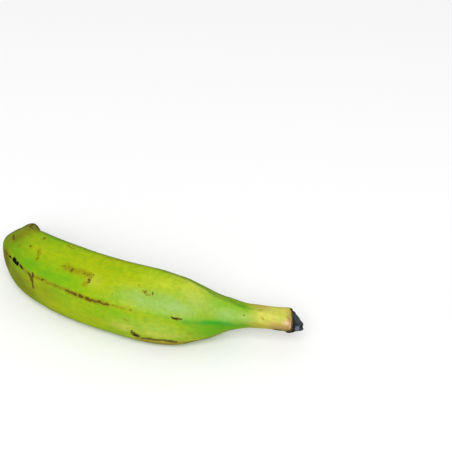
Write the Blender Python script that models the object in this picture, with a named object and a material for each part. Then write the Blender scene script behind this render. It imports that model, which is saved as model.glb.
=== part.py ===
"""Plantain as picked, lying on its side on a table: one grown piece with its stem and both dried ends.

The fruit is a loft of five-sided rings along a curved middle line. The stem end points to +X, the outer side
of the curve faces -Y, the table is Z = 0, and the origin is the middle of the footprint.
Distances along the middle line start where the peel ends on the stem. Angles around it start at the top and
turn towards the outer side. Lengths are in millimetres until the mesh is made.
"""

import math
import random

import bpy
import numpy as np

OBJECT_NAME = "plantain"
METRE = 0.001

# Driving profiles, each a list of (distance along the middle line in mm, value).
HALF_THICKNESS = [
    (0, 8.2),
    (12, 7.8),
    (27, 7.8),
    (44, 11.3),
    (60, 17.8),
    (78, 22.9),
    (100, 24.6),
    (125, 24.6),
    (150, 24.3),
    (175, 23.5),
    (196, 21.7),
    (213, 18.5),
    (228, 13.7),
    (240, 9.3),
    (252, 5.8),
]
# Direction of travel from the stem end, in degrees from -X, growing towards +Y.
HEADING = [
    (0, -32),
    (27, -25),
    (60, -21),
    (99, -13),
    (149, -2),
    (180, 8),
    (200, 22),
    (228, 52),
    (252, 68),
]
# Height of the underside above the table, before its kinks are rounded off.
LIFT = [
    (0, 13.6),
    (27, 14.8),
    (44, 12.9),
    (60, 5.8),
    (78, 1.0),
    (99, 0.0),
    (175, 0.1),
    (200, 0.8),
    (228, 2.2),
    (252, 4.8),
]
# Turn of the faces about the middle line, in degrees.
TWIST = [(0, 62), (30, 30), (60, 5), (110, -3), (252, -4)]
# How far a ring is from round (0) to fully five-sided (1).
FACETING = [(0, 0.35), (27, 0.5), (57, 0.8), (97, 0.6), (167, 0.55), (212, 0.6), (252, 0.45)]

RIDGE_ANGLES = (61, 137, 213, 283, 349)
RIDGE_CRISPNESS = 16.0
FACE_HALF_ANGLE = 36.0
KINK_LENGTH = 9.0
RING_SPACING = 3.2
POINTS_PER_FACE = 9

FLAT_SPOT_DEPTH = 0.3
CUTTER_SIZE = (300.0, 200.0, 20.0)

# Long, shallow unevenness of the peel.
UNEVEN_SEED = 11
UNEVEN_WAVES = 6
UNEVEN_HEIGHT = 0.16
UNEVEN_LENGTHS = (34.0, 90.0)
UNEVEN_FADE = 30.0

# Dried cut end beyond the peel: it is inset from the peel's edge, and its domed end face slants.
STUB_INSET = 0.6
STUB_CENTRE_LENGTH = 4.4
STUB_RIM_LENGTH = 3.3
STUB_SLANT = 4.8
STUB_LONGEST_AT = 116.0
STUB_SHORTEST = 0.5
STUB_SIDE_RINGS = ((0.05, 1.0), (0.4, 1.0), (0.75, 0.97), (0.93, 0.92), (1.0, 0.82))
STUB_FACE_RINGS = (0.64, 0.44, 0.22)
STUB_RAGGEDNESS = 0.45
# Waves of the torn rim: (waves around the rim, phase in radians, share of the raggedness).
STUB_RIM_WAVES = ((3, 5.1, 1.0), (7, 5.0, 0.6))
# Dents of the end face: how many around it, and how far they swirl from its middle to its rim in radians.
STUB_DENTS = 2
STUB_DENT_SWIRL = 5.0
# A dried lobe curls out low on the stub, where the peel's edge recedes.
LOBE_ANGLE = 148.0
LOBE_SPREAD = 24.0
LOBE_HEIGHT = 2.1
LOBE_RECESS = 2.6
LOBE_OVERLAP = 2.4
RECESS_LENGTH = 9.0

# Blunt blossom end: (how far beyond the last ring in mm, share of its half thickness).
BLOSSOM_RINGS = ((0.8, 0.92), (1.4, 0.74), (1.2, 0.5), (1.1, 0.36), (2.3, 0.28), (2.6, 0.12))

PEEL_COLOR = (0.37, 0.50, 0.04, 1.0)
PEEL_ROUGHNESS = 0.42
DRIED_COLOR = (0.03, 0.032, 0.038, 1.0)
DRIED_ROUGHNESS = 0.85


def clear_scene():
    """Removes every object, mesh and material that the file opened with."""
    for item in list(bpy.data.objects):
        bpy.data.objects.remove(item, do_unlink=True)
    for item in list(bpy.data.meshes):
        bpy.data.meshes.remove(item)
    for item in list(bpy.data.materials):
        bpy.data.materials.remove(item)


def along(profile, distance):
    """Smooth values of a profile, on cubic pieces that never overshoot its points."""
    places, values = np.array(profile, float).T
    gaps = np.diff(places)
    slopes = np.diff(values) / gaps
    tangents = np.zeros_like(values)
    tangents[0] = slopes[0]
    tangents[-1] = slopes[-1]
    for i in range(1, len(values) - 1):
        if slopes[i - 1] * slopes[i] > 0:
            before = 2 * gaps[i] + gaps[i - 1]
            after = gaps[i] + 2 * gaps[i - 1]
            tangents[i] = (before + after) / (before / slopes[i - 1] + after / slopes[i])
    piece = np.clip(np.searchsorted(places, distance, side="right") - 1, 0, len(gaps) - 1)
    t = (distance - places[piece]) / gaps[piece]
    start = (1 + 2 * t) * (1 - t) ** 2 * values[piece]
    leave = t * (1 - t) ** 2 * gaps[piece] * tangents[piece]
    end = t * t * (3 - 2 * t) * values[piece + 1]
    arrive = t * t * (t - 1) * gaps[piece] * tangents[piece + 1]
    return start + leave + end + arrive


def faces_between_ridges():
    """The (first, last) ridge angle of each of the five faces."""
    following = RIDGE_ANGLES[1:] + (RIDGE_ANGLES[0] + 360,)
    return list(zip(RIDGE_ANGLES, following))


def angles_around():
    """Angles of a ring's points, the same number on each face and one on each ridge."""
    faces = [np.linspace(a, b, POINTS_PER_FACE, endpoint=False) for a, b in faces_between_ridges()]
    return np.concatenate(faces)


def five_sided(angles):
    """Radius of a soft-cornered five-sided section at these angles."""
    total = np.zeros(len(angles))
    for first, last in faces_between_ridges():
        reach = np.cos(np.radians(angles - (first + last) / 2))
        reach *= math.cos(math.radians(FACE_HALF_ANGLE)) / math.cos(math.radians((last - first) / 2))
        total += np.maximum(reach, 0) ** RIDGE_CRISPNESS
    return total ** (-1 / RIDGE_CRISPNESS)


def unevenness(distance, angles):
    """Shallow waves over the peel, by distance along it and angle around it, in mm."""
    draw = random.Random(UNEVEN_SEED)
    height = np.zeros((len(distance), len(angles)))
    for _ in range(UNEVEN_WAVES):
        length = draw.uniform(*UNEVEN_LENGTHS)
        lobes = draw.choice((1, 2, 2, 3))
        phase = draw.uniform(0, 2 * math.pi)
        wave = 2 * math.pi * distance[:, None] / length + lobes * np.radians(angles)[None, :] + phase
        height += UNEVEN_HEIGHT * np.sin(wave)
    fade = np.clip(np.minimum(distance, distance[-1] - distance) / UNEVEN_FADE, 0, 1)
    return height * fade[:, None]


def rounded_off(values, reach):
    """Values along the middle line with their kinks rounded off over this many rings to each side."""
    weights = np.hanning(2 * reach + 3)[1:-1]
    padded = np.pad(values, reach, mode="reflect", reflect_type="odd")
    return np.convolve(padded, weights / weights.sum(), mode="valid")


def stub_lobe(turn):
    """How far the dried lobe stands out at these turns, from 0 away from it to 1 at its middle."""
    away = (np.degrees(turn) - LOBE_ANGLE + 180) % 360 - 180
    return np.exp(-(away / LOBE_SPREAD) ** 2)


class Peel:
    """Rings of the peel from the stem end to the blossom end, with the directions at each ring."""

    def __init__(self):
        length = HALF_THICKNESS[-1][0]
        count = round(length / RING_SPACING) + 1
        self.distance = np.linspace(0, length, count)
        self.angles = angles_around()
        self.turn = np.radians(self.angles[None, :] + along(TWIST, self.distance)[:, None])
        section = five_sided(self.angles)
        round_mean = five_sided(np.arange(360.0)).mean()
        shape = 1 + along(FACETING, self.distance)[:, None] * (section / round_mean - 1)
        self.reach = along(HALF_THICKNESS, self.distance)[:, None] * shape
        self.reach = self.reach + unevenness(self.distance, self.angles)
        self.place_middle_line()
        self.rings = self.middle[:, None] + self.spokes() * self.reach[..., None]
        self.rings = self.rings + self.travel[:, None] * self.recess()[..., None]

    def place_middle_line(self):
        """Walks along the heading, at the height that puts each ring's underside at its lift."""
        step = self.distance[1] - self.distance[0]
        height = along(LIFT, self.distance) + (-self.reach * np.cos(self.turn)).max(axis=1)
        height = rounded_off(height, round(KINK_LENGTH / step))
        rise = np.gradient(height, self.distance)
        level = np.sqrt(1 - rise ** 2)
        heading = np.radians(along(HEADING, self.distance))
        self.travel = np.stack([-np.cos(heading) * level, np.sin(heading) * level, rise], axis=-1)
        halfway = (self.travel[1:, :2] + self.travel[:-1, :2]) / 2 * step
        plan = np.vstack([np.zeros(2), np.cumsum(halfway, axis=0)])
        self.middle = np.column_stack([plan, height - FLAT_SPOT_DEPTH])
        self.outward = np.stack([-np.sin(heading), -np.cos(heading), np.zeros(len(heading))], axis=-1)
        self.upward = np.cross(self.travel, self.outward)

    def recess(self):
        """How far each point of the peel draws back from the cut to leave room for the dried lobe."""
        share = np.clip(1 - self.distance / RECESS_LENGTH, 0, 1)
        fade = share * share * (3 - 2 * share)
        return LOBE_RECESS * fade[:, None] * stub_lobe(self.turn[0])[None, :]

    def spokes(self):
        """Unit directions from the middle line to the points of each ring."""
        up = np.cos(self.turn)[..., None] * self.upward[:, None]
        out = np.sin(self.turn)[..., None] * self.outward[:, None]
        return up + out


def stub_rings(peel):
    """Rings of the dried cut end, from the middle of its face back to the peel's edge."""
    centre = peel.middle[0]
    outwards = -peel.travel[0]
    spokes = peel.spokes()[0]
    edge = peel.reach[0] - STUB_INSET
    turn = peel.turn[0]
    lobe = stub_lobe(turn)
    ragged = sum(share * np.sin(waves * turn + phase) for waves, phase, share in STUB_RIM_WAVES)
    side_length = STUB_RIM_LENGTH + STUB_SLANT * np.cos(turn - math.radians(STUB_LONGEST_AT))
    side_length = np.maximum(side_length + STUB_RAGGEDNESS * ragged, STUB_SHORTEST)
    rings = []
    for share, width in STUB_SIDE_RINGS:
        curl = lobe * (1 - share) ** 2
        length = side_length * share - LOBE_OVERLAP * curl
        reach = edge * width + LOBE_HEIGHT * curl
        rings.append(centre + np.outer(length, outwards) + spokes * reach[:, None])
    rim = STUB_SIDE_RINGS[-1][1]
    for width in STUB_FACE_RINGS:
        dome = STUB_CENTRE_LENGTH + (side_length - STUB_CENTRE_LENGTH) * (width / rim) ** 2
        dent = STUB_RAGGEDNESS * np.sin(STUB_DENTS * turn + STUB_DENT_SWIRL * width) * width
        rings.append(centre + np.outer(dome + dent, outwards) + spokes * (edge * width)[:, None])
    return rings[::-1], centre + outwards * STUB_CENTRE_LENGTH


def blossom_rings(peel):
    """Rings of the blunt blossom end, from the last ring of the peel to the tip of the dried style."""
    centre = peel.middle[-1]
    outwards = peel.travel[-1]
    spokes = peel.spokes()[-1]
    rings = []
    for beyond, width in BLOSSOM_RINGS:
        rings.append(centre + outwards * beyond + spokes * (peel.reach[-1] * width)[:, None])
    return rings, centre + outwards * BLOSSOM_RINGS[-1][0]


def on_footprint(points):
    """The points moved so that the middle of their footprint is at the origin."""
    plan = points[:, :2]
    centre = (plan.min(axis=0) + plan.max(axis=0)) / 2
    return points - np.array([centre[0], centre[1], 0.0])


def ring_faces(ring_count, around):
    """Quads between neighbouring rings, and a fan of triangles to the point beyond each end ring."""
    faces = []
    for ring in range(ring_count - 1):
        for i in range(around):
            here = ring * around + i
            beside = ring * around + (i + 1) % around
            faces.append((here, here + around, beside + around, beside))
    last_ring = (ring_count - 1) * around
    first_point = ring_count * around
    last_point = first_point + 1
    for i in range(around):
        beside = (i + 1) % around
        faces.append((first_point, i, beside))
        faces.append((last_point, last_ring + beside, last_ring + i))
    return faces


def make_material(name, color, roughness):
    """A Principled material of one colour."""
    material = bpy.data.materials.new(name)
    material.use_nodes = True
    shader = material.node_tree.nodes["Principled BSDF"]
    shader.inputs["Base Color"].default_value = color
    shader.inputs["Roughness"].default_value = roughness
    shader.inputs["Metallic"].default_value = 0.0
    return material


def make_fruit(collection):
    """The whole fruit as one closed mesh, green over the peel and dark on the two dried ends."""
    peel = Peel()
    stub, stub_middle = stub_rings(peel)
    blossom, blossom_tip = blossom_rings(peel)
    rings = stub + list(peel.rings) + blossom
    around = len(peel.angles)
    points = np.vstack(rings + [stub_middle[None], blossom_tip[None]])
    faces = ring_faces(len(rings), around)

    mesh = bpy.data.meshes.new(OBJECT_NAME)
    mesh.from_pydata((on_footprint(points) * METRE).tolist(), [], faces)
    mesh.materials.append(make_material("green peel", PEEL_COLOR, PEEL_ROUGHNESS))
    mesh.materials.append(make_material("dried ends", DRIED_COLOR, DRIED_ROUGHNESS))
    first_peel_point = len(stub) * around
    last_peel_point = first_peel_point + len(peel.rings) * around
    for face in mesh.polygons:
        on_peel = all(first_peel_point <= i < last_peel_point for i in face.vertices)
        face.material_index = 0 if on_peel else 1
    mesh.shade_smooth()

    fruit = bpy.data.objects.new(OBJECT_NAME, mesh)
    collection.objects.link(fruit)
    return fruit


def cut_flat_spot(fruit, collection):
    """Trims what reaches below the table, which leaves a shallow flat spot along the belly."""
    below = -CUTTER_SIZE[2] / 2 * METRE
    bpy.ops.mesh.primitive_cube_add(size=1.0, location=(0.0, 0.0, below))
    cutter = bpy.context.active_object
    cutter.name = "below_table"
    cutter.scale = [side * METRE for side in CUTTER_SIZE]
    bpy.ops.object.transform_apply(location=False, rotation=False, scale=True)
    for holder in list(cutter.users_collection):
        holder.objects.unlink(cutter)
    collection.objects.link(cutter)
    cutter.hide_render = True
    cutter.display_type = "WIRE"

    flat = fruit.modifiers.new("flat spot", "BOOLEAN")
    flat.operation = "DIFFERENCE"
    flat.solver = "EXACT"
    flat.object = cutter


def main():
    clear_scene()
    parts = bpy.data.collections.new(OBJECT_NAME)
    cutters = bpy.data.collections.new("cutters")
    bpy.context.scene.collection.children.link(parts)
    bpy.context.scene.collection.children.link(cutters)
    fruit = make_fruit(parts)
    cut_flat_spot(fruit, cutters)


main()
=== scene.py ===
"""Green plantain lying on its side, with a torn dried stem end and a dried blossom end.

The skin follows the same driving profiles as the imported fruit, with finer rings and low relief.
A place on the skin is its distance along the middle line from the stem's edge in mm, and its angle
around that line in degrees. Angles start at the top and turn towards the outer side of the curve,
before the twist of the faces is added. Lengths are in millimetres until a mesh is made. The settings'
lengths and the places of the floor, the light and the camera are in metres.
"""

import math
import random

import bpy
import numpy as np
from bpy.props import FloatProperty, FloatVectorProperty, IntProperty, PointerProperty
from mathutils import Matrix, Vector, noise


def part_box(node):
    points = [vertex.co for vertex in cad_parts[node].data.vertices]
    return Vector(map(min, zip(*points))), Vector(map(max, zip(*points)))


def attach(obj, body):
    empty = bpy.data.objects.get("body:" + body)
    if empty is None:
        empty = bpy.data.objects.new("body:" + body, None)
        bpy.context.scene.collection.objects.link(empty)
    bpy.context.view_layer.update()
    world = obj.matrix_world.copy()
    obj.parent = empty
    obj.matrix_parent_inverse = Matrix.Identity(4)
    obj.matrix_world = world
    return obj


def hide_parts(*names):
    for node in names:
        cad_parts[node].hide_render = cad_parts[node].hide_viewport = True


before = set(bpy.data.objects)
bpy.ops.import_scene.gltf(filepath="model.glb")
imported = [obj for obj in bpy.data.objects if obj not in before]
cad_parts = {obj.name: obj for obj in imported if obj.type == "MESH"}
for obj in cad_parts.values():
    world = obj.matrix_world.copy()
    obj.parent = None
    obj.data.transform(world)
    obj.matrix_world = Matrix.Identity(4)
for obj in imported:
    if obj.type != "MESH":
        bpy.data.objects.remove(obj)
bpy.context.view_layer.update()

bl_info = {
    "name": "Plantain",
    "version": (1, 0, 0),
    "blender": (4, 5, 0),
    "location": "3D View > Sidebar > Plantain",
    "description": "Builds a green plantain with its skin, dried ends and a plain studio stage",
    "category": "Add Mesh",
}

FRUIT_NODE = "plantain"
BODY = "root"
MILLIMETRE = 0.001
# Least value to divide by.
TINY = 1e-9

# Driving profiles, each a list of (distance along the middle line in mm, value).
HALF_THICKNESS = [
    (0, 8.2), (12, 7.8), (27, 7.8), (44, 11.3), (60, 17.8), (78, 22.9), (100, 24.6),
    (125, 24.6), (150, 24.3), (175, 23.5), (196, 21.7), (213, 18.5), (228, 13.7), (240, 9.3),
    (252, 5.8),
]
SKIN_LENGTH = HALF_THICKNESS[-1][0]
# Direction of travel from the stem end, in degrees from -X, growing towards +Y.
HEADING = [
    (0, -32), (27, -25), (60, -21), (99, -13), (149, -2), (180, 8), (200, 22), (228, 52),
    (252, 68),
]
# Height of the underside above the table, before its kinks are rounded off.
LIFT = [
    (0, 13.6), (27, 14.8), (44, 12.9), (60, 5.8), (78, 1.0), (99, 0.0), (175, 0.1), (200, 0.8),
    (228, 2.2), (252, 4.8),
]
# Turn of the faces about the middle line, in degrees.
TWIST = [(0, 62), (30, 30), (60, 5), (110, -3), (252, -4)]
# How far a ring is from round (0) to fully five-sided (1).
FACETING = [(0, 0.35), (27, 0.5), (57, 0.8), (97, 0.6), (167, 0.55), (212, 0.6), (252, 0.45)]

RIDGE_ANGLES = (61, 137, 213, 283, 349)
RIDGE_CRISPNESS = 16.0
FACE_HALF_ANGLE = 36.0
FLAT_SPOT_DEPTH = 0.3
KINK_LENGTH = 9.0

# Long, shallow unevenness of the skin.
UNEVEN_SEED = 11
UNEVEN_WAVES = 6
UNEVEN_HEIGHT = 0.16
UNEVEN_LENGTHS = (34.0, 90.0)
UNEVEN_LOBES = (1, 2, 2, 3)
UNEVEN_FADE = 30.0

# Dried cut end beyond the skin: it is inset from the skin's edge, and its domed end face slants.
STUB_INSET = 0.6
STUB_CENTRE_LENGTH = 4.4
STUB_RIM_LENGTH = 3.3
STUB_SLANT = 4.8
STUB_LONGEST_AT = 116.0
STUB_SHORTEST = 0.5
STUB_SIDE_RINGS = ((0.05, 1.0), (0.4, 1.0), (0.75, 0.97), (0.93, 0.92), (1.0, 0.82))
STUB_FACE_RINGS = (0.64, 0.44, 0.22)
STUB_RAGGEDNESS = 0.45
# Waves of the torn rim: (waves around the rim, phase in radians, share of the raggedness).
STUB_RIM_WAVES = ((3, 5.1, 1.0), (7, 5.0, 0.6))
# Dents of the end face: how many around it, and their swirl from middle to rim in radians.
STUB_DENTS = 2
STUB_DENT_SWIRL = 5.0
STUB_MIDDLE_WIDTH = 0.15
# Two hidden rings lead the stub out of the stem, the deeper one narrower.
STUB_ROOT_DEPTH = 4.5
STUB_ROOT_SHARE = 0.85
STUB_FOOT_DEPTH = 0.6
STUB_FOOT_INSET = 0.2
# A dried lobe curls out low on the stub, where the skin's edge recedes.
LOBE_ANGLE = 148.0
LOBE_SPREAD = 24.0
LOBE_HEIGHT = 2.1
LOBE_RECESS = 2.6
LOBE_OVERLAP = 2.4
LOBE_FOOT_DEPTH = 3.6
LOBE_FOOT_HEIGHT = 0.8
RECESS_LENGTH = 9.0
# The skin's edge also draws back a little at its top, and rounds in towards the stub.
TOP_RECESS = 1.3
TOP_RECESS_ANGLE = 325.0
TOP_RECESS_SPREAD = 38.0
EDGE_ROUNDING = 0.4
EDGE_ROUNDING_LENGTH = 1.8
# The edge is ragged, and brown just beside both dried ends.
EDGE_WAVE_SIZE = 4.0
EDGE_RAGGEDNESS = 0.35
SKIN_EDGE_BROWN = 0.7
SKIN_EDGE_WANDER = 0.5
TIP_BROWN = 1.6
TIP_WANDER = 1.5
# Rings that lead the skin in under the stub: (mm beyond the edge, mm inwards, mm along the pattern).
LIP_RINGS = ((-1.5, 4.0, 3.0), (0.1, 1.4, 2.0), (0.4, 0.9, 1.0), (0.35, 0.3, 0.5))
# Rings that close the skin under the dried cap: (mm beyond, share of the reach, mm along the pattern).
CAP_RINGS = ((0.3, 0.95, 0.8), (0.3, 0.85, 1.8), (-0.2, 0.7, 3.0), (-0.4, 0.4, 4.0))

# Low relief of the skin: keels along the ridges, dents all over, flutes on the stem and raised scabs.
KEEL_HALF_WIDTH = 0.9
KEEL_WAVE_SIZE = 17.0
KEEL_VARIATION = 0.4
DENT_SIZE = 11.0
FLUTE_HEIGHT = 0.08
# Flutes around the stem: (how many, phase in radians, share of the height).
FLUTE_WAVES = ((11, 0.0, 1.0), (17, 1.3, 0.7))
FLUTES_FROM = 44.0
FLUTES_FULL = 18.0
# A scab rises over this range of a black mark's field, and a brown mark's field counts this much.
SCAB_RISE = (0.35, 0.75)
BROWN_SCAB_SHARE = 0.8

# Relief of the dried stub: lengthwise folds, lumps and grain, by size in mm and share of the depth.
FOLD_STRETCH = (0.35, 1.0, 1.0)
FOLD_SIZE = 2.6
FOLD_SHARE = 0.5
LUMP_SIZE = 3.0
LUMP_SHARE = 0.6
GRAIN_SIZE = 0.9
GRAIN_SHARE = 0.3
# Stretches beyond the skin's edge over which the relief, the grey sheen (partly painted reflection) and the
# bark set in, in mm.
STUB_RELIEF_RISE = (-1.0, 0.8)
STUB_BLOOM_RISE = (-0.5, 0.5)
STUB_BARK_FALL = (1.0, 0.0)
STUB_BARK = 0.7
# Least share of the grey sheen, partly painted reflection, on the dried ends.
LEAST_SLATE = 0.3

# Dried blossom end: (how far beyond the skin's last ring in mm, share of that ring's reach).
BLOSSOM_RINGS = (
    (-0.6, 0.85), (1.02, 0.9), (1.52, 0.74), (1.32, 0.5), (1.22, 0.36), (2.42, 0.28),
    (2.72, 0.12), (2.82, 0.02),
)
# Its crown of lobes and folds: shares are of the wrinkle depth, rises and falls are over the reach.
CROWN_LOBES = 5
CROWN_PHASE = 0.6
CROWN_SHARE = 0.6
CROWN_FOLDS = 13
CROWN_FOLD_SWIRL = 4.0
CROWN_FOLD_SHARE = 0.2
CROWN_GRAIN_SIZE = 1.6
CROWN_GRAIN_SHARE = 0.7
CROWN_LOBE_RISE = (0.25, 0.6)
CROWN_BARK = 0.8
CROWN_RIM_RISE = (0.5, 0.9)
CROWN_MIDDLE_FALL = (0.32, 0.2)
# Stretch beyond the skin over which the cap's relief sets in, in mm.
CAP_RELIEF_RISE = (0.4, 1.2)

# Patches on the dried stem end, each (mm beyond the edge, turn, half length, half width, strength).
STUB_PATCHES = {
    # Slate: a grey sheen on the dark tissue, partly grey bloom and partly painted reflection of the bright
    # surround.
    "slate": [
        (4.6, 60, 3, 9, 1), (2, 20, 1.6, 6, 0.9), (6, 120, 2.5, 6, 0.8), (4, 250, 3, 10, 0.8),
    ],
    # Ash: the palest patches, partly ashy tissue and partly painted highlight where the glossy dark surface
    # reflects the surround.
    "ash": [
        (3.6, 104, 1.6, 2.6, 1.2), (7, 122, 0.7, 1.2, 0.9), (3.6, 200, 2, 3, 0.6),
    ],
    "soot": [
        (3.6, 74, 1.2, 0.9, 0.8), (5.6, 132, 1, 1.4, 1), (6.4, 88, 0.8, 1.6, 0.7),
        (3, 300, 1.2, 3, 0.8),
    ],
}

# Marks on the skin: (kind, half width in mm, strength, and the places that it runs through).
MARKS = [
    # Black scabs on the main ridge near the blossom end.
    ("black", 1.5, 1, (192.6, 59.6), (190.6, 60.6), (188.2, 61)),
    ("brown", 0.8, 1, (198.2, 61), (196, 60.4)),
    ("black", 0.5, 1, (197.6, 61), (196.4, 60.6)),
    ("brown", 1, 1, (185.2, 61.4), (183.2, 62.4)),
    ("black", 0.6, 1, (185, 61.4), (183.4, 62.2)),
    ("brown", 0.6, 0.8, (206, 62.5), (200.4, 61.2)),
    ("rubbed", 1, 0.9, (207, 62.5), (195, 60.4), (178, 64.5)),
    ("rubbed", 1.6, 0.95, (208, 62.5), (201, 61.5)),
    # Forked scar across the main ridge.
    ("brown", 1.1, 1, (177.4, 65.6), (175.4, 70), (174.6, 76)),
    ("brown", 1, 1, (173.8, 62.2), (174.3, 69)),
    ("black", 0.45, 1, (173.9, 63.4), (174.1, 66)),
    ("brown", 0.6, 0.95, (174.5, 79), (174.4, 86)),
    ("brown", 0.9, 0.95, (174.3, 88), (174.4, 92)),
    ("rubbed", 1.3, 1, (182, 64), (177, 66), (174.4, 82)),
    # Rubbed line along the main ridge, broken into dark dashes.
    ("rubbed", 1.4, 1, (173, 66), (162, 65.6), (148, 65.6)),
    ("rubbed", 2, 1, (148, 66), (134, 66.8), (118, 66.8)),
    ("rubbed", 1.4, 0.7, (118, 66.8), (101, 66.6)),
    ("brown", 0.7, 0.95, (148.2, 66), (144.6, 65.6)),
    ("brown", 1, 1, (143, 65.6), (139.8, 66.8)),
    ("brown", 1.3, 1, (137, 66.8), (135, 66)),
    ("brown", 1.2, 1, (132, 66.2), (129, 67)),
    ("brown", 0.9, 1, (127.4, 67), (125.8, 67.2)),
    ("brown", 0.8, 1, (124, 66.8), (120.6, 67)),
    ("brown", 0.7, 0.9, (119.4, 66.8), (116.6, 66.4)),
    # Scuff in the middle of the upper face.
    ("rubbed", 2.3, 0.95, (155, 31), (148.5, 32), (141, 29.5), (135, 30.5)),
    ("rubbed", 1.6, 0.85, (133.6, 33), (134.2, 40), (136, 49)),
    ("brown", 0.9, 0.9, (134.2, 37.6), (133.8, 39.6)),
    # Spots and streaks on the upper face near the blossom end.
    ("rubbed", 1.5, 0.9, (185.4, 355.6), (184.2, 357.4)),
    ("brown", 0.8, 0.8, (185.2, 355.6), (184.4, 357)),
    ("rubbed", 1.3, 0.85, (188.8, 22.6), (187, 25)),
    ("brown", 0.8, 0.85, (188.2, 23.6), (187.4, 24.6)),
    ("rubbed", 1.6, 0.8, (197, 33), (196, 35)),
    ("rubbed", 1, 0.8, (180.5, 20), (178, 31), (176, 40)),
    ("brown", 0.5, 0.75, (179.6, 24), (178.6, 30)),
    ("brown", 0.5, 0.75, (177.6, 36), (177, 39)),
    ("rubbed", 2, 0.9, (214, 31), (206, 35)),
    ("brown", 1.1, 0.8, (212.6, 32), (207.6, 34)),
    # Little cluster beside the bloom.
    ("brown", 0.5, 0.8, (97.6, 31), (96.6, 35)),
    ("brown", 0.5, 0.8, (95.2, 36), (94.6, 37)),
    ("brown", 0.5, 0.85, (91.4, 30), (90.8, 33)),
    ("rubbed", 0.9, 0.75, (102, 24), (101, 26)),
    ("brown", 0.4, 0.85, (96.4, 33), (95.8, 31)),
    ("rubbed", 1.2, 0.75, (98, 33), (93, 35)),
    ("rubbed", 1.3, 0.64, (66, 97), (64.6, 99)),
    ("rubbed", 1.1, 0.66, (106, 86), (104, 90)),
    # Short dark dash where the main ridge runs into the neck.
    ("brown", 0.8, 0.9, (76, 60.8), (73, 61.8), (70.2, 60.8)),
    ("black", 0.3, 1, (75.4, 60.8), (72.6, 61.4)),
    # Torn scab low on the outer side, and the brown line that leaves it.
    ("brown", 0.6, 0.9, (102.4, 109), (101.6, 114)),
    ("brown", 0.5, 0.9, (100.6, 111), (100.2, 115)),
    ("brown", 2.2, 1, (101.2, 116), (99, 120)),
    ("black", 1, 0.9, (100.2, 119), (98.8, 121)),
    ("brown", 1.5, 0.85, (96.4, 123.8), (90, 122.8), (82, 123), (75, 126)),
    ("rubbed", 1.6, 1, (80, 128), (66, 132)),
    ("rubbed", 2.2, 1, (99, 129), (84, 133), (70, 136)),
    ("brown", 0.9, 0.75, (93, 134), (78, 138)),
    # Stem.
    ("rubbed", 0.9, 0.9, (20, 12), (19.4, 15)),
    ("rubbed", 0.9, 0.66, (21.6, 329), (20.6, 331)),
    ("rubbed", 0.7, 0.9, (3.4, 341), (2.4, 345)),
    ("black", 1, 1, (11.4, 66), (7.4, 63)),
    ("brown", 1.5, 1, (0, 50), (1.6, 66), (3.4, 84)),
    ("black", 1.2, 1, (0.4, 66), (3, 86)),
    # Flecks along the upper edge.
    ("rubbed", 0.9, 0.85, (90, 344), (87, 344.5)),
    ("rubbed", 0.8, 0.85, (77, 344), (75, 344)),
    ("rubbed", 0.8, 0.8, (165, 352), (158, 354)),
    # Line along the low outer ridge: partly rubbed skin, partly painted shade that darkens the fruit's lower
    # edge.
    ("rubbed", 1.3, 0.95, (216, 131), (200, 135), (172, 137)),
    ("rubbed", 1.1, 0.8, (142, 138), (104, 138)),
    ("brown", 0.7, 0.85, (70, 133), (52, 136)),
    # Ridges and streaks that turn brown towards the blossom end.
    ("brown", 0.7, 0.95, (251, 61), (244, 61)),
    ("brown", 0.6, 0.9, (251, 137), (246, 136)),
    ("brown", 0.8, 0.95, (251, 213), (242, 213)),
    ("brown", 0.6, 0.9, (251, 283), (245, 284)),
    ("brown", 0.6, 0.95, (251, 349), (243, 349)),
    ("rubbed", 1.2, 1, (251, 61), (236, 61)),
    ("rubbed", 1, 1, (251, 213), (234, 213)),
    ("rubbed", 1, 1, (251, 349), (232, 349)),
    ("rubbed", 0.8, 1, (251, 170), (241, 174)),
    ("rubbed", 0.8, 1, (251, 20), (243, 24)),
    # Sides that face away: broken lines on the ridges, scabs and scuffs.
    ("brown", 0.9, 1, (168, 136), (161, 137.5), (150, 137)),
    ("black", 0.8, 1, (165, 136.5), (161.6, 137.2)),
    ("rubbed", 1.5, 1, (172, 136), (142, 137.5)),
    ("rubbed", 2.8, 0.95, (120, 252), (111, 246), (104, 249)),
    ("brown", 1, 0.85, (117, 250), (112, 246.5)),
    ("brown", 0.9, 1, (143, 283), (134, 284.5), (121, 283.5)),
    ("black", 0.8, 1, (141, 283.4), (137.6, 284)),
    ("black", 0.6, 1, (132, 284.4), (127.4, 284)),
    ("rubbed", 1.6, 1, (150, 283), (110, 283.5)),
    ("black", 1.3, 1, (176, 284), (173, 283)),
    ("brown", 1.1, 0.9, (91, 300), (89, 304)),
    ("brown", 0.8, 0.9, (196, 262), (189, 268), (184, 266)),
    ("rubbed", 2.2, 0.9, (199, 258), (182, 268)),
    ("brown", 1.4, 0.95, (73, 214), (67, 212)),
    ("black", 0.7, 1, (71, 213.6), (68.6, 212.6)),
    ("brown", 1, 0.9, (152, 318), (149, 321)),
    ("rubbed", 2.4, 0.9, (64, 262), (55, 258)),
    ("brown", 0.7, 0.9, (216, 349), (206, 349.5)),
    ("rubbed", 1.4, 1, (226, 349), (196, 349.5)),
    ("black", 0.9, 1, (222, 283), (219, 283.5)),
    ("brown", 1, 1, (229, 62), (224, 61)),
]

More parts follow.
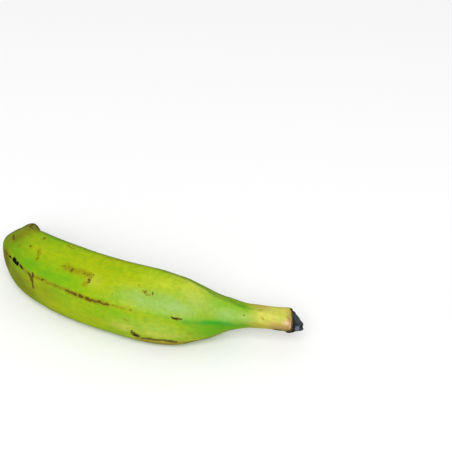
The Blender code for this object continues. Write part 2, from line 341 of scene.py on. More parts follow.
# Flecks along a line: (kind, how many, stray in mm, range of half widths in mm, strength, places).
FLECKS = [
    ("brown", 30, 0.8, (0.25, 0.5), 0.85, (172, 66.5), (162, 65.6), (149, 65.6)),
    ("brown", 18, 1.1, (0.25, 0.5), 0.85, (149, 66), (132, 66.8), (115, 66.8)),
    ("brown", 10, 0.6, (0.3, 0.5), 0.8, (115, 65), (101, 66)),
    ("rubbed", 24, 1.6, (0.4, 0.9), 0.9, (156, 31), (147, 32)),
    ("brown", 24, 1.5, (0.3, 0.6), 0.85, (156, 31), (140, 29.5), (134, 31)),
    ("brown", 10, 1, (0.3, 0.6), 0.8, (134, 35), (134.6, 45)),
    ("rubbed", 14, 3, (0.5, 1), 0.85, (160, 30), (134, 30)),
    ("brown", 12, 1.3, (0.3, 0.6), 0.85, (155, 30.6), (149, 31.6)),
    ("black", 14, 0.5, (0.15, 0.3), 0.95, (143.4, 65.8), (132, 66.6), (121, 67)),
    ("rubbed", 18, 2.2, (0.5, 1), 0.8, (181, 18), (177.6, 31), (175, 42)),
    ("brown", 10, 1, (0.3, 0.5), 0.8, (180, 20), (177.6, 31), (176, 41)),
    ("rubbed", 16, 3, (0.5, 1.1), 0.85, (212, 40), (206, 18), (204, 0)),
    ("rubbed", 10, 3, (0.4, 0.9), 0.85, (146, 352), (120, 350)),
    ("brown", 8, 1.4, (0.3, 0.5), 0.8, (100, 28), (90, 32)),
    ("brown", 10, 1.2, (0.3, 0.6), 0.85, (103.6, 108), (101, 118)),
    ("rubbed", 8, 2, (0.3, 0.6), 0.65, (25, 330), (18, 10)),
    ("rubbed", 16, 2.5, (0.4, 0.9), 0.85, (150, 283), (112, 283)),
    ("brown", 14, 1.8, (0.3, 0.6), 0.85, (120, 252), (104, 248)),
]
FLECK_SEED = 8

# How far marks wander from their drawn places and over which length, in mm.
MARK_WANDER = 0.7
MARK_WANDER_SIZE = 3.0
# The two directions of the wander take their noise this many mm apart.
MARK_WANDER_SHIFT = 50

# Small specks: how many, and the ranges of their distances, half widths in mm and strengths.
SPECK_SEED = 5
SPECK_COUNT = 90
SPECK_RUN = (30, 235)
SPECK_SIZES = (0.3, 0.75)
SPECK_STRENGTHS = (0.6, 0.8)
SPECK_KINDS = ("brown", "rubbed", "rubbed")

# Broad tones, each over those before it: (distance, angle, half length, half width, strength). Some of them
# carry painted shade and painted highlights, as noted at each.
TONES = {
    "lime": [
        (176, 22, 16, 9, 0.7), (140, 20, 30, 12, 0.9), (129, 40, 12, 7, 1), (104, 20, 18, 8, 0.9),
        (160, 108, 22, 9, 0.7), (134, 114, 20, 8, 0.8), (118, 84, 12, 4, 0.6),
        (112, 69.5, 9, 3, 0.95),
    ],
    # Fresh green: purer green patches, and at (52, 336) painted light that brightens the neck's upper side
    # where it turns away from the key light.
    "fresh": [
        (180, 52, 16, 7, 0.95), (164, 56, 16, 4.5, 0.9), (150, 50, 14, 6, 0.75),
        (196, 46, 12, 9, 0.6), (188, 37, 5, 4, 0.6), (178, 338, 18, 9, 0.75), (52, 336, 20, 8, 1.2),
        (52, 96, 18, 9, 1.2), (112, 78, 12, 5, 0.5), (128, 90, 12, 6, 0.45),
        (84, 64, 16, 4.5, 0.35), (60, 47, 12, 4.5, 0.3), (67, 76, 8, 7, 0.45),
    ],
    # Deep green: partly the neck's own darker green, partly painted shade on the neck's faces below its
    # ridges and on its underside.
    "deep": [
        (47, 62.5, 20, 2.3, 1.2), (42, 68, 17, 4.5, 0.9), (63, 64, 9, 3.4, 0.85),
        (50, 345, 14, 2, 0.35), (36, 339, 12, 2.2, 0.7), (50, 210, 18, 9, 0.6),
    ],
    # Bright: brighter yellow-green skin towards the neck; the patch at (50, 330) is painted light on the
    # neck's upper side, which turns away from the key light.
    "bright": [
        (86, 8, 16, 7, 0.7), (68, 6, 12, 7, 0.8), (50, 330, 14, 5, 0.5), (104, 28, 10, 5, 0.35),
        (76, 96, 18, 7, 0.35),
    ],
    # Bloom: pale waxy bloom, which is also a painted sheen where the key light's soft highlight falls on the
    # upper face.
    "bloom": [
        (80, 44, 20, 6.5, 1), (98, 47, 14, 6, 0.85), (62, 26, 14, 8, 0.6), (42, 34, 12, 5, 0.75),
        (31, 32, 7, 3.4, 1), (88, 92, 16, 7, 0.35), (110, 190, 50, 14, 0.5), (90, 270, 30, 9, 0.6),
    ],
    "yellow": [
        (84, 130, 18, 4, 0.8), (84, 110, 15, 2.8, 0.6), (64, 350, 16, 2.2, 0.5),
        (66, 4, 14, 6, 0.16), (108, 106, 8, 5, 0.6), (131, 38, 5, 4, 0.3),
    ],
    # Olive: partly duller skin, partly painted shade on the lower outer face that turns away from the light;
    # darker towards the blossom end.
    "olive": [
        (188, 100, 20, 15, 0.7), (165, 86, 12, 9, 0.4), (204, 76, 10, 9, 1), (208, 12, 10, 16, 0.6),
        (228, 40, 14, 40, 0.7), (21, 56, 12, 2.4, 0.5), (250, 0, 9, 60, 0.8),
    ],
    "tan": [
        (8, 42, 8, 3.4, 1), (3, 60, 5, 8, 1), (1.6, 0, 2.4, 8, 1), (22, 302, 6, 2.2, 0.5),
        (3, 180, 5, 14, 0.6),
    ],
    # Umber: browner skin right at the cut, and painted shade along the low side of the stem and the neck's
    # lower edge.
    "umber": [
        (6, 60, 6, 2.2, 0.9), (1, 20, 1, 9, 0.6), (2, 62, 2.6, 3.4, 0.8), (45, 134, 14, 2, 0.6),
        (85, 135, 15, 2.6, 0.55),
    ],
    # Painted highlight: a pale patch on the stem beside the cut that stands in for the light's glint there.
    "cream": [
        (4, 9, 2.4, 1.6, 0.8), (1.2, 16, 1, 3, 0.5),
    ],
}

# The stem turns from green to yellow between these distances, in mm.
STEM_GREEN_FROM = 33.0
STEM_YELLOW_UNTIL = 18.0

MARK_NAMES = ("rubbed", "brown", "black")
PLACE_FIELD = "skin_place"

RAGGED_EDGE = "Ragged edge"
STREAKS = "Lengthwise streaks"
# Ragged masks: (grain per mm, raggedness, softness, how much they cover of the colour beneath).
MASKS = {
    "rubbed": (0.75, 1.5, 0.3, 0.62),
    "brown": (1.1, 1.1, 0.14, 0.88),
    "black": (1.2, 0.7, 0.08, 1.0),
    "slate": (0.7, 0.8, 0.3, 1.0),
    "ash": (1.1, 0.8, 0.2, 0.8),
    "bark": (0.9, 0.7, 0.3, 0.7),
}
# Streaks: (width in mm, how many times longer they are).
FINE_STREAKS = (0.9, 16.0)
WIDE_STREAKS = (3.2, 9.0)
FIBRES = (0.35, 7.0)
# Scales of the other patterns, per mm.
MOTTLE_SCALE = 0.05
BLOTCH_SCALE = 0.16
FINE_MOTTLE_SCALE = 0.32
PORE_SCALE = 1.6
CRUMB_SCALE = 2.4
CRUST_SCALE = 3.0
# How patterns move the colours and the roughness: (pattern from, pattern to, value from, value to).
GREEN_RANGE = (0.38, 0.64, 0.0, 1.0)
TONE_RANGE = (0.3, 0.7, 0.65, 1.25)
SKIN_LIGHT_RANGE = (0.35, 0.65, 0.92, 1.06)
SCAR_LIGHT_RANGE = (0.35, 0.65, 0.55, 1.35)
SKIN_ROUGHNESS_RANGE = (0.2, 0.8, 0.4, 0.5)
DRIED_LIGHT_RANGE = (0.3, 0.7, 0.65, 1.25)
DRIED_ROUGHNESS_RANGE = (0.3, 0.7, 0.55, 0.8)
# Roughness that the bloom, which also carries a painted sheen, and worn places add.
BLOOM_ROUGHNESS = 0.1
WORN_ROUGHNESS = 0.3
SKIN_SPECULAR = 0.12
# Fine bumps, with their depth in metres.
SKIN_BUMP = {"Strength": 0.5, "Distance": 0.0003}
DRIED_BUMP = {"Strength": 0.9, "Distance": 0.0007}


def shade(red, green, blue):
    """Linear colour with full opacity from display values between 0 and 255."""
    linear = []
    for value in (red, green, blue):
        share = value / 255
        linear.append(share / 12.92 if share <= 0.04045 else ((share + 0.055) / 1.055) ** 2.4)
    return (*linear, 1.0)


def color_setting(name, description, red, green, blue):
    """A colour that a user can change."""
    return FloatVectorProperty(
        name=name,
        description=description,
        subtype="COLOR",
        size=4,
        min=0.0,
        max=1.0,
        default=shade(red, green, blue),
    )


def count_setting(name, description, default, least, most):
    """A number of rings or columns that a user can change."""
    return IntProperty(name=name, description=description, default=default, min=least, max=most)


def number_setting(name, description, default, least, most, **unit):
    """A number that a user can change."""
    return FloatProperty(name=name, description=description, default=default, min=least, max=most, **unit)


def length_setting(name, description, default, most, least=0.0):
    """A length in metres that a user can change."""
    return number_setting(name, description, default, least, most, subtype="DISTANCE", unit="LENGTH")


class PlantainSkinSettings(bpy.types.PropertyGroup):
    """Sizes and colours of the skin"""

    rings: count_setting("Rings along", "Rings of points from the stem to the blossom end", 472, 80, 480)
    columns: count_setting("Columns a face", "Columns of points on each of the five faces", 40, 8, 40)
    keel_height: length_setting("Keel height", "How far the keel on each ridge stands out", 0.00016, 0.001)
    dent_depth: length_setting("Dent depth", "Depth of the shallow dents all over the skin", 0.00014, 0.001)
    scar_height: length_setting("Scar height", "How far dry scabs and scars stand out", 0.00012, 0.001)
    green: color_setting("Green", "Main colour of the skin", 128, 167, 6)
    lime: color_setting("Lime", "Sunnier patches", 156, 174, 0)
    # Purer green, also used as painted light on the neck's upper side.
    fresh: color_setting("Fresh green", "Purer green patches beside the main ridge", 98, 163, 8)
    # Darker green that is also painted shade on the neck's faces below its ridges.
    deep: color_setting("Deep green", "Green of the neck's shaded faces", 34, 146, 12)
    # Duller green that is also painted shade on the lower outer face and towards the blossom end.
    olive: color_setting("Olive", "Duller green of the outer face and the blossom end", 110, 102, 3)
    # Bright yellow green, also used as painted light on the neck's upper side.
    bright: color_setting("Bright", "Brightest yellow green, towards the neck", 176, 192, 38)
    # Colour of the pale waxy bloom, which also serves as a painted sheen on the upper face.
    bloom: color_setting("Bloom", "Pale waxy bloom", 144, 178, 90)
    yellow: color_setting("Yellow", "Yellow of the stem and of ripening patches", 190, 187, 80)
    tan: color_setting("Tan", "Tan skin near the cut", 164, 128, 74)
    # Browner skin at the cut, also used as painted shade low on the stem and along the neck's lower edge.
    umber: color_setting("Umber", "Browner skin beside the cut and low on the stem", 112, 84, 38)
    # Colour of the painted highlight on the stem beside the cut.
    cream: color_setting("Cream", "Palest skin beside the cut", 216, 182, 150)
    rubbed: color_setting("Rubbed", "Olive brown of rubbed skin", 134, 110, 4)
    brown: color_setting("Scar brown", "Brown of scars", 84, 62, 10)
    black: color_setting("Scab black", "Black of dry scabs", 14, 8, 2)


class PlantainEndSettings(bpy.types.PropertyGroup):
    """Sizes and colours of the dried ends"""

    rings: count_setting("Rings", "Rings of points over the dried stem end", 90, 20, 160)
    columns: count_setting("Columns", "Columns of points around each dried end", 180, 24, 240)
    wrinkle_depth: length_setting("Wrinkle depth", "Depth of the dried wrinkles and fibres", 0.0003, 0.002)
    dark: color_setting("Dark", "Near black of the dried tissue", 16, 13, 12)
    # Grey sheen on the dried tissue, partly painted reflection of the bright surround.
    slate: color_setting("Slate", "Greyish bloom on the torn tissue", 50, 64, 70)
    # Palest patches, partly painted highlight on the glossy dark tissue.
    ash: color_setting("Ash", "Palest ashy patches", 112, 112, 140)
    bark: color_setting("Bark", "Brown where the dried end meets the skin", 66, 42, 22)


class PlantainStageSettings(bpy.types.PropertyGroup):
    """Floor, light and camera"""

    floor_color: color_setting("Floor", "Colour of the floor", 240, 240, 240)
    floor_size: length_setting("Floor size", "Length of each side of the floor", 6.0, 20.0, least=1.0)
    surround_light: number_setting("Surround light", "Strength of the even light", 0.68, 0.0, 3.0)
    key_power: number_setting(
        "Key light",
        "Power of the large soft light above the fruit",
        96.0,
        0.0,
        1000.0,
        subtype="POWER",
        unit="POWER",
    )
    focal_length: number_setting("Focal length", "Focal length in millimetres", 84.96, 20.0, 200.0)


def along(profile, distance):
    """Smooth values of a profile, on cubic pieces that never overshoot its points."""
    places, values = np.array(profile, float).T
    gaps = np.diff(places)
    slopes = np.diff(values) / gaps
    tangents = np.zeros_like(values)
    tangents[0] = slopes[0]
    tangents[-1] = slopes[-1]
    for i in range(1, len(values) - 1):
        if slopes[i - 1] * slopes[i] > 0:
            before = 2 * gaps[i] + gaps[i - 1]
            after = gaps[i] + 2 * gaps[i - 1]
            tangents[i] = (before + after) / (before / slopes[i - 1] + after / slopes[i])
    piece = np.clip(np.searchsorted(places, distance, side="right") - 1, 0, len(gaps) - 1)
    t = (distance - places[piece]) / gaps[piece]
    start = (1 + 2 * t) * (1 - t) ** 2 * values[piece]
    leave = t * (1 - t) ** 2 * gaps[piece] * tangents[piece]
    end = t * t * (3 - 2 * t) * values[piece + 1]
    arrive = t * t * (t - 1) * gaps[piece] * tangents[piece + 1]
    return start + leave + end + arrive


def smooth_step(low, high, value):
    """0 below low, 1 above high, and smooth between them. It falls where high is below low."""
    t = np.clip((value - low) / (high - low), 0, 1)
    return t * t * (3 - 2 * t)


def faces_between_ridges():
    """The (first, last) ridge angle of each of the five faces."""
    following = RIDGE_ANGLES[1:] + (RIDGE_ANGLES[0] + 360,)
    return list(zip(RIDGE_ANGLES, following))


def angles_around(per_face, crowding=0.35):
    """Angles of a ring's points, the same number on each face and closest together at the ridges."""
    t = np.arange(per_face) / per_face
    t = t - crowding * np.sin(2 * math.pi * t) / (2 * math.pi)
    return np.concatenate([first + (last - first) * t for first, last in faces_between_ridges()])


def five_sided(angles):
    """Radius of a soft-cornered five-sided section at these angles."""
    total = np.zeros(len(angles))
    for first, last in faces_between_ridges():
        reach = np.cos(np.radians(angles - (first + last) / 2))
        reach *= math.cos(math.radians(FACE_HALF_ANGLE)) / math.cos(math.radians((last - first) / 2))
        total += np.maximum(reach, 0) ** RIDGE_CRISPNESS
    return total ** (-1 / RIDGE_CRISPNESS)


def unevenness(distance, angles):
    """Shallow waves over the skin, by distance along it and angle around it, in mm."""
    draw = random.Random(UNEVEN_SEED)
    height = np.zeros((len(distance), len(angles)))
    for _ in range(UNEVEN_WAVES):
        length = draw.uniform(*UNEVEN_LENGTHS)
        lobes = draw.choice(UNEVEN_LOBES)
        phase = draw.uniform(0, 2 * math.pi)
        wave = 2 * math.pi * distance[:, None] / length + lobes * np.radians(angles)[None, :] + phase
        height += UNEVEN_HEIGHT * np.sin(wave)
    fade = np.clip(np.minimum(distance, distance[-1] - distance) / UNEVEN_FADE, 0, 1)
    return height * fade[:, None]


def turned(angle, from_angle):
    """Signed turn in radians from one angle to another in degrees, the short way round."""
    return np.radians((angle - from_angle + 180) % 360 - 180)


def rounded_off(values, reach):
    """Values along the middle line with their kinks rounded off over this many rings to each side."""
    weights = np.hanning(2 * reach + 3)[1:-1]
    padded = np.pad(values, reach, mode="reflect", reflect_type="odd")
    return np.convolve(padded, weights / weights.sum(), mode="valid")


class Form:
    """Rings of the fruit's smooth form from the stem end to the blossom end, before any relief."""

    def __init__(self, rings, angles):
        self.distance = np.linspace(0, SKIN_LENGTH, rings)
        self.angles = angles
        self.turn = np.radians(angles[None, :] + along(TWIST, self.distance)[:, None])
        section = five_sided(angles)
        round_mean = five_sided(np.arange(360.0)).mean()
        shape = 1 + along(FACETING, self.distance)[:, None] * (section / round_mean - 1)
        self.reach = along(HALF_THICKNESS, self.distance)[:, None] * shape
        self.reach = self.reach + unevenness(self.distance, angles)
        self.place_middle_line()
        self.offset = self.place_in_frame()

    def place_middle_line(self):
        """Walks along the heading, at the height that puts each ring's underside at its lift."""
        step = self.distance[1] - self.distance[0]
        height = along(LIFT, self.distance) + (-self.reach * np.cos(self.turn)).max(axis=1)
        height = rounded_off(height, round(KINK_LENGTH / step))
        rise = np.gradient(height, self.distance)
        level = np.sqrt(1 - rise ** 2)
        heading = np.radians(along(HEADING, self.distance))
        self.travel = np.stack([-np.cos(heading) * level, np.sin(heading) * level, rise], axis=-1)
        halfway = (self.travel[1:, :2] + self.travel[:-1, :2]) / 2 * step
        plan = np.vstack([np.zeros(2), np.cumsum(halfway, axis=0)])
        self.middle = np.column_stack([plan, height - FLAT_SPOT_DEPTH])
        outward = np.stack([-np.sin(heading), -np.cos(heading), np.zeros(len(heading))], axis=-1)
        upward = np.cross(self.travel, outward)
        up = np.cos(self.turn)[..., None] * upward[:, None]
        out = np.sin(self.turn)[..., None] * outward[:, None]
        self.spokes = up + out

    def place_in_frame(self):
        """How far the form moves level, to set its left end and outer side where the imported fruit's are."""
        rings = self.points(self.reach)
        lowest = Vector(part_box(FRUIT_NODE)[0]) / MILLIMETRE
        return np.array([lowest.x - rings[..., 0].min(), lowest.y - rings[..., 1].min(), 0.0])

    def points(self, reach):
        """Points this far from the middle line, for every ring and column."""
        return self.middle[:, None] + self.spokes * reach[..., None]


def distance_to_path(form, places, wander):
    """How far each point of the skin is from a path over it that wanders a little, in mm."""
    nearest = np.full(form.reach.shape, np.inf)
    if len(places) == 1:
        places = places * 2
    for (near, near_angle), (far, far_angle) in zip(places, places[1:]):
        u = form.distance[:, None] - near + wander[0]
        v = turned(form.angles[None, :], near_angle) * form.reach + wander[1]
        run_u = far - near
        run_v = turned(far_angle, near_angle) * form.reach
        length = np.maximum(run_u ** 2 + run_v ** 2, TINY)
        share = np.clip((u * run_u + v * run_v) / length, 0, 1)
        nearest = np.minimum(nearest, np.hypot(u - share * run_u, v - share * run_v))
    return nearest


def mark_fields(form):
    """Fields of the marks by kind: 1 in a mark's middle, a half at its edge and 0 at twice its width."""
    fields = {kind: np.zeros(form.reach.shape) for kind in MARK_NAMES}
    skin = skin_places(form)
    wander = []
    for shift in (0, MARK_WANDER_SHIFT):
        wander.append(MARK_WANDER * noise_field(skin + shift, MARK_WANDER_SIZE, 2))
    for kind, half_width, strength, *places in MARKS + flecks() + specks():
        field = strength * np.clip(1 - distance_to_path(form, places, wander) / (2 * half_width), 0, 1)
        fields[kind] = np.maximum(fields[kind], field)
    return fields


def flecks():
    """Flecks strewn along the drawn lines, in the form of marks."""
    draw = random.Random(FLECK_SEED)
    found = []
    for kind, count, stray, sizes, strength, *places in FLECKS:
        for _ in range(count):
            piece = draw.randrange(len(places) - 1)
            share = draw.random()
            (near, near_angle), (far, far_angle) = places[piece : piece + 2]
            distance = near + (far - near) * share + draw.gauss(0, stray) / 2
            aside = draw.gauss(0, stray) / 2
            angle = near_angle + math.degrees(turned(far_angle, near_angle)) * share
            angle += math.degrees(aside / along(HALF_THICKNESS, distance))
            found.append((kind, draw.uniform(*sizes), strength, (distance, angle)))
    return found


def specks():
    """Small specks scattered over the skin, in the form of marks."""
    draw = random.Random(SPECK_SEED)
    found = []
    for _ in range(SPECK_COUNT):
        place = (draw.uniform(*SPECK_RUN), draw.uniform(0, 360))
        kind = draw.choice(SPECK_KINDS)
        found.append((kind, draw.uniform(*SPECK_SIZES), draw.uniform(*SPECK_STRENGTHS), place))
    return found


def patches(listed, run, angles, reach):
    """Fields of soft patches by name, over points given by run (mm), angle and reach (mm)."""
    fields = {name: np.zeros(reach.shape) for name in listed}
    for name, spots in listed.items():
        for place, angle, half_length, half_width, strength in spots:
            u = (run - place) / half_length
            v = turned(angles, angle) * reach / half_width
            fields[name] = np.maximum(fields[name], strength * np.exp(-(u ** 2 + v ** 2)))
    return fields


def tone_fields(form):
    """Fields of the broad tones by name."""
    fields = patches(TONES, form.distance[:, None], form.angles[None, :], form.reach)
    ripe = smooth_step(STEM_GREEN_FROM, STEM_YELLOW_UNTIL, form.distance)[:, None]
    fields["yellow"] = np.maximum(fields["yellow"], ripe)
    return fields


def noise_field(places, size, octaves):
    """Smooth noise from about -1 to 1 at these places, with features of this size."""
    flat = (places / size).reshape(-1, 3)
    values = [noise.fractal(Vector(place), 1.0, 2.0, octaves) for place in flat.tolist()]
    return np.array(values).reshape(places.shape[:-1])


def around_axis(run, radius, around):
    """Places in the skin's own space: along it, and around it on a circle that closes without a seam."""
    return np.stack([run, radius * np.cos(around), radius * np.sin(around)], axis=-1)


def skin_places(form):
    """Places of the skin's points in its own space."""
    run = np.broadcast_to(form.distance[:, None], form.reach.shape)
    radius = along(HALF_THICKNESS, form.distance)[:, None]
    return around_axis(run, radius, np.radians(form.angles)[None, :])


class End:
    """An end of the middle line. The way out of it follows the travel (1) or goes against it (-1)."""

    def __init__(self, form, ring, way_out):
        self.centre = form.middle[ring] + form.offset
        self.outwards = form.travel[ring] * way_out
        self.spokes = form.spokes[ring]
        self.turn = form.turn[ring]
        self.reach = form.reach[ring]

    def ring(self, beyond, width):
        """A ring of points this far beyond the end and this far from its middle, in mm."""
        return self.centre + np.outer(beyond, self.outwards) + self.spokes * width[:, None]

    def measured(self, rings):
        """How far points lie beyond the end and wide of it in mm, and their angle in radians."""
        beyond = (rings - self.centre) @ self.outwards
        width = np.linalg.norm((rings - self.centre) - beyond[..., None] * self.outwards, axis=-1)
        return beyond, width, np.broadcast_to(self.turn, width.shape)


def waves_around(turn, waves):
    """Waves around a ring, each given as (how many, phase in radians, share), added up."""
    return sum(share * np.sin(count * turn + phase) for count, phase, share in waves)


def grid_faces(ring_count, around):
    """Quads between neighbouring rings, and a fan of triangles to one point beyond each end ring."""
    here = np.arange(ring_count * around).reshape(ring_count, around)
    beside = np.roll(here, -1, axis=1)
    quads = np.stack([here[:-1], here[1:], beside[1:], beside[:-1]], axis=-1)
    faces = quads.reshape(-1, 4).tolist()
    first_point = ring_count * around
    rims = np.stack([here[0], beside[0], here[-1], beside[-1]], axis=-1)
    for near, near_next, far, far_next in rims.tolist():
        faces.append((first_point, near, near_next))
        faces.append((first_point + 1, far_next, far))
    return faces


def with_end_points(values):
    """Values over rings as one row of points, followed by the means of the first and the last ring."""
    means = [values[0].mean(axis=0), values[-1].mean(axis=0)]
    return np.concatenate([values.reshape(-1, *values.shape[2:]), means])


def ring_mesh(name, rings, fields, places):
    """A closed, smooth mesh over these rings (mm), which carries its fields and places as attributes."""
    points = with_end_points(rings)
    points[:, 2] = np.maximum(points[:, 2], 0)
    mesh = bpy.data.meshes.new(name)
    mesh.from_pydata((points * MILLIMETRE).tolist(), [], grid_faces(len(rings), rings.shape[1]))
    mesh.shade_smooth()
    for field_name, field in fields.items():
        attribute = mesh.attributes.new(field_name, "FLOAT", "POINT")
        attribute.data.foreach_set("value", with_end_points(field).astype(np.float32))
    attribute = mesh.attributes.new(PLACE_FIELD, "FLOAT_VECTOR", "POINT")
    attribute.data.foreach_set("vector", with_end_points(places).astype(np.float32).reshape(-1))
    return mesh


def through(rings, count):
    """This many rings on smooth curves through a few rings."""
    rings = np.array(rings)
    at = np.linspace(0, len(rings) - 1, count)
    piece = np.minimum(at.astype(int), len(rings) - 2)
    t = (at - piece)[:, None, None]
    before = rings[np.maximum(piece - 1, 0)]
    near = rings[piece]
    far = rings[piece + 1]
    after = rings[np.minimum(piece + 2, len(rings) - 1)]
    curve = 2 * near + (far - before) * t + (2 * before - 5 * near + 4 * far - after) * t ** 2
    return (curve + (3 * near - before - 3 * far + after) * t ** 3) / 2


def outward_normals(rings):
    """Unit normals of a grid of rings, pointing away from the middle of each ring."""
    run = np.gradient(rings, axis=0)
    around = np.roll(rings, -1, axis=1) - np.roll(rings, 1, axis=1)
    normals = np.cross(around, run)
    return normals / np.maximum(np.linalg.norm(normals, axis=-1, keepdims=True), TINY)


def stub_lobe(turn):
    """How far round the stub the dried lobe is, from 0 away from it to 1 at its middle."""
    return np.exp(-(turned(np.degrees(turn), LOBE_ANGLE) / math.radians(LOBE_SPREAD)) ** 2)


class Tree:
    """Adds linked nodes to a node tree."""

    def __init__(self, tree):
        self.tree = tree

    def fill(self, node, inputs):
        """Sets or links inputs of a node."""
        for name, value in inputs.items():
            if isinstance(value, bpy.types.NodeSocket):
                self.tree.links.new(value, node.inputs[name])
            else:
                node.inputs[name].default_value = value
        return node

    def add(self, kind, inputs=None, **settings):
        """A node with these settings, and with its inputs set or linked."""
        node = self.tree.nodes.new("ShaderNode" + kind)
        for name, value in settings.items():
            setattr(node, name, value)
        return self.fill(node, inputs or {})

    def attribute(self, name, output="Fac"):
        """Values of a field that the mesh carries."""
        return self.add("Attribute", attribute_type="GEOMETRY", attribute_name=name).outputs[output]

    def math(self, operation, first, second=0.0):
        """A sum, product or other step of arithmetic."""
        return self.add("Math", {0: first, 1: second}, operation=operation).outputs[0]

    def weighted(self, first, *others):
        """The sum of values that are each given with its share."""
        total = self.math("MULTIPLY", *first)
        for other in others:
            total = self.math("ADD", total, self.math("MULTIPLY", *other))
        return total

    def noise(self, place, scale, detail=3.0, roughness=0.55):
        """Noise from 0 to 1."""
        inputs = {"Vector": place, "Scale": scale, "Detail": detail, "Roughness": roughness}
        return self.add("TexNoise", inputs).outputs["Fac"]

    def range(self, value, low, high, to_low=0.0, to_high=1.0):
        """The value moved smoothly from one range to another."""
        inputs = {"Value": value, "From Min": low, "From Max": high, "To Min": to_low, "To Max": to_high}
        return self.add("MapRange", inputs, interpolation_type="SMOOTHSTEP").outputs["Result"]

    def mix(self, factor, first, second, blend="MIX"):
        """Two colours mixed."""
        node = self.add("Mix", {0: factor, 6: first, 7: second}, data_type="RGBA", blend_type=blend)
        return node.outputs[2]

    def dimmed(self, color, share):
        """A colour times a share that changes over the surface."""
        gray = self.add("CombineColor", {0: share, 1: share, 2: share}).outputs[0]
        return self.mix(1.0, color, gray, blend="MULTIPLY")

    def group(self, group, **inputs):
        """The value of a node group with its inputs set or linked."""
        named = {name.capitalize(): value for name, value in inputs.items()}
        return self.fill(self.add("Group", node_tree=group), named).outputs[0]


def start_group(name, inputs, output):
    """A node group that takes a place and these numbers with their defaults, and puts out one value."""
    group = bpy.data.node_groups.new(name, "ShaderNodeTree")
    group.interface.new_socket("Place", in_out="INPUT", socket_type="NodeSocketVector")
    for input_name, default in inputs.items():
        socket = group.interface.new_socket(input_name, in_out="INPUT", socket_type="NodeSocketFloat")
        socket.default_value = default
    group.interface.new_socket(output, in_out="OUTPUT", socket_type="NodeSocketFloat")
    given = group.nodes.new("NodeGroupInput").outputs
    return Tree(group), given, group.nodes.new("NodeGroupOutput")


def ragged_edge_group():
    """Turns a soft field into a mask with a ragged edge where the field passes a half."""
    inputs = {"Field": 0.0, "Grain": 1.2, "Raggedness": 0.4, "Softness": 0.08}
    tree, given, end = start_group(RAGGED_EDGE, inputs, "Mask")
    grain = tree.noise(given["Place"], given["Grain"], detail=4.0, roughness=0.65)
    push = tree.math("MULTIPLY", tree.math("SUBTRACT", grain, 0.5), given["Raggedness"])
    pushed = tree.math("ADD", given["Field"], push)
    low = tree.math("SUBTRACT", 0.5, given["Softness"])
    high = tree.math("ADD", 0.5, given["Softness"])
    tree.fill(end, {"Mask": tree.range(pushed, low, high)})
    return tree.tree


def streaks_group():
    """Fine streaks that run along the fruit."""
    tree, given, end = start_group(STREAKS, {"Width": 1.2, "Stretch": 14.0}, "Streaks")
    length = tree.math("MULTIPLY", given["Width"], given["Stretch"])
    size = tree.add("CombineXYZ", {"X": length, "Y": given["Width"], "Z": given["Width"]}).outputs[0]
    scaled = tree.add("VectorMath", {0: given["Place"], 1: size}, operation="DIVIDE").outputs[0]
    tree.fill(end, {"Streaks": tree.noise(scaled, 1.0, detail=4.0, roughness=0.6)})
    return tree.tree


def streaks(tree, place, width, stretch):
    """Streaks of this width, from the group that both materials share."""
    group = bpy.data.node_groups.get(STREAKS) or streaks_group()
    return tree.group(group, place=place, width=width, stretch=stretch)


def ragged_masks(tree, place, names):
    """Masks of these fields, each with its own ragged edge, from the group that both materials share."""
    group = bpy.data.node_groups.get(RAGGED_EDGE) or ragged_edge_group()
    masks = {}
    for name in names:
        grain, raggedness, softness, _ = MASKS[name]
        inputs = {"place": place, "grain": grain, "raggedness": raggedness, "softness": softness}
        masks[name] = tree.group(group, field=tree.attribute(name), **inputs)
    return masks


def covered(tree, color, masks, tops):
    """A colour with others over it in turn, each as far as its mask covers what is beneath."""
    for name, top in tops.items():
        cover = MASKS[name][-1]
        color = tree.mix(tree.math("MULTIPLY", masks[name], cover), color, top)
    return color


def start_material(name):
    """A new material with its tree and its shader."""
    material = bpy.data.materials.get(name)
    if material:
        bpy.data.materials.remove(material)
    material = bpy.data.materials.new(name)
    material.use_nodes = True
    return material, Tree(material.node_tree), material.node_tree.nodes["Principled BSDF"]


def skin_color(tree, place, settings):
    """Green skin under its broad tones, some of them painted shade, sheen and highlight, which streaks and
    blotches break up.
    """
    mottle = tree.noise(place, MOTTLE_SCALE, detail=2.0)
    fine_mottle = tree.noise(place, FINE_MOTTLE_SCALE, roughness=0.6)
    blotch = tree.noise(place, BLOTCH_SCALE)
    varied = tree.weighted((streaks(tree, place, *WIDE_STREAKS), 0.35), (blotch, 0.65))
    varied = tree.range(varied, *TONE_RANGE)
    mottle = tree.range(tree.weighted((mottle, 0.6), (fine_mottle, 0.4)), *GREEN_RANGE)
    color = tree.mix(mottle, list(settings.green), list(settings.lime))
    for name in TONES:
        share = tree.math("MINIMUM", tree.math("MULTIPLY", tree.attribute(name), varied), 1.0)
        color = tree.mix(share, color, list(getattr(settings, name)))
    uneven = tree.weighted((streaks(tree, place, *FINE_STREAKS), 0.5), (fine_mottle, 0.5))
    return tree.dimmed(color, tree.range(uneven, *SKIN_LIGHT_RANGE))


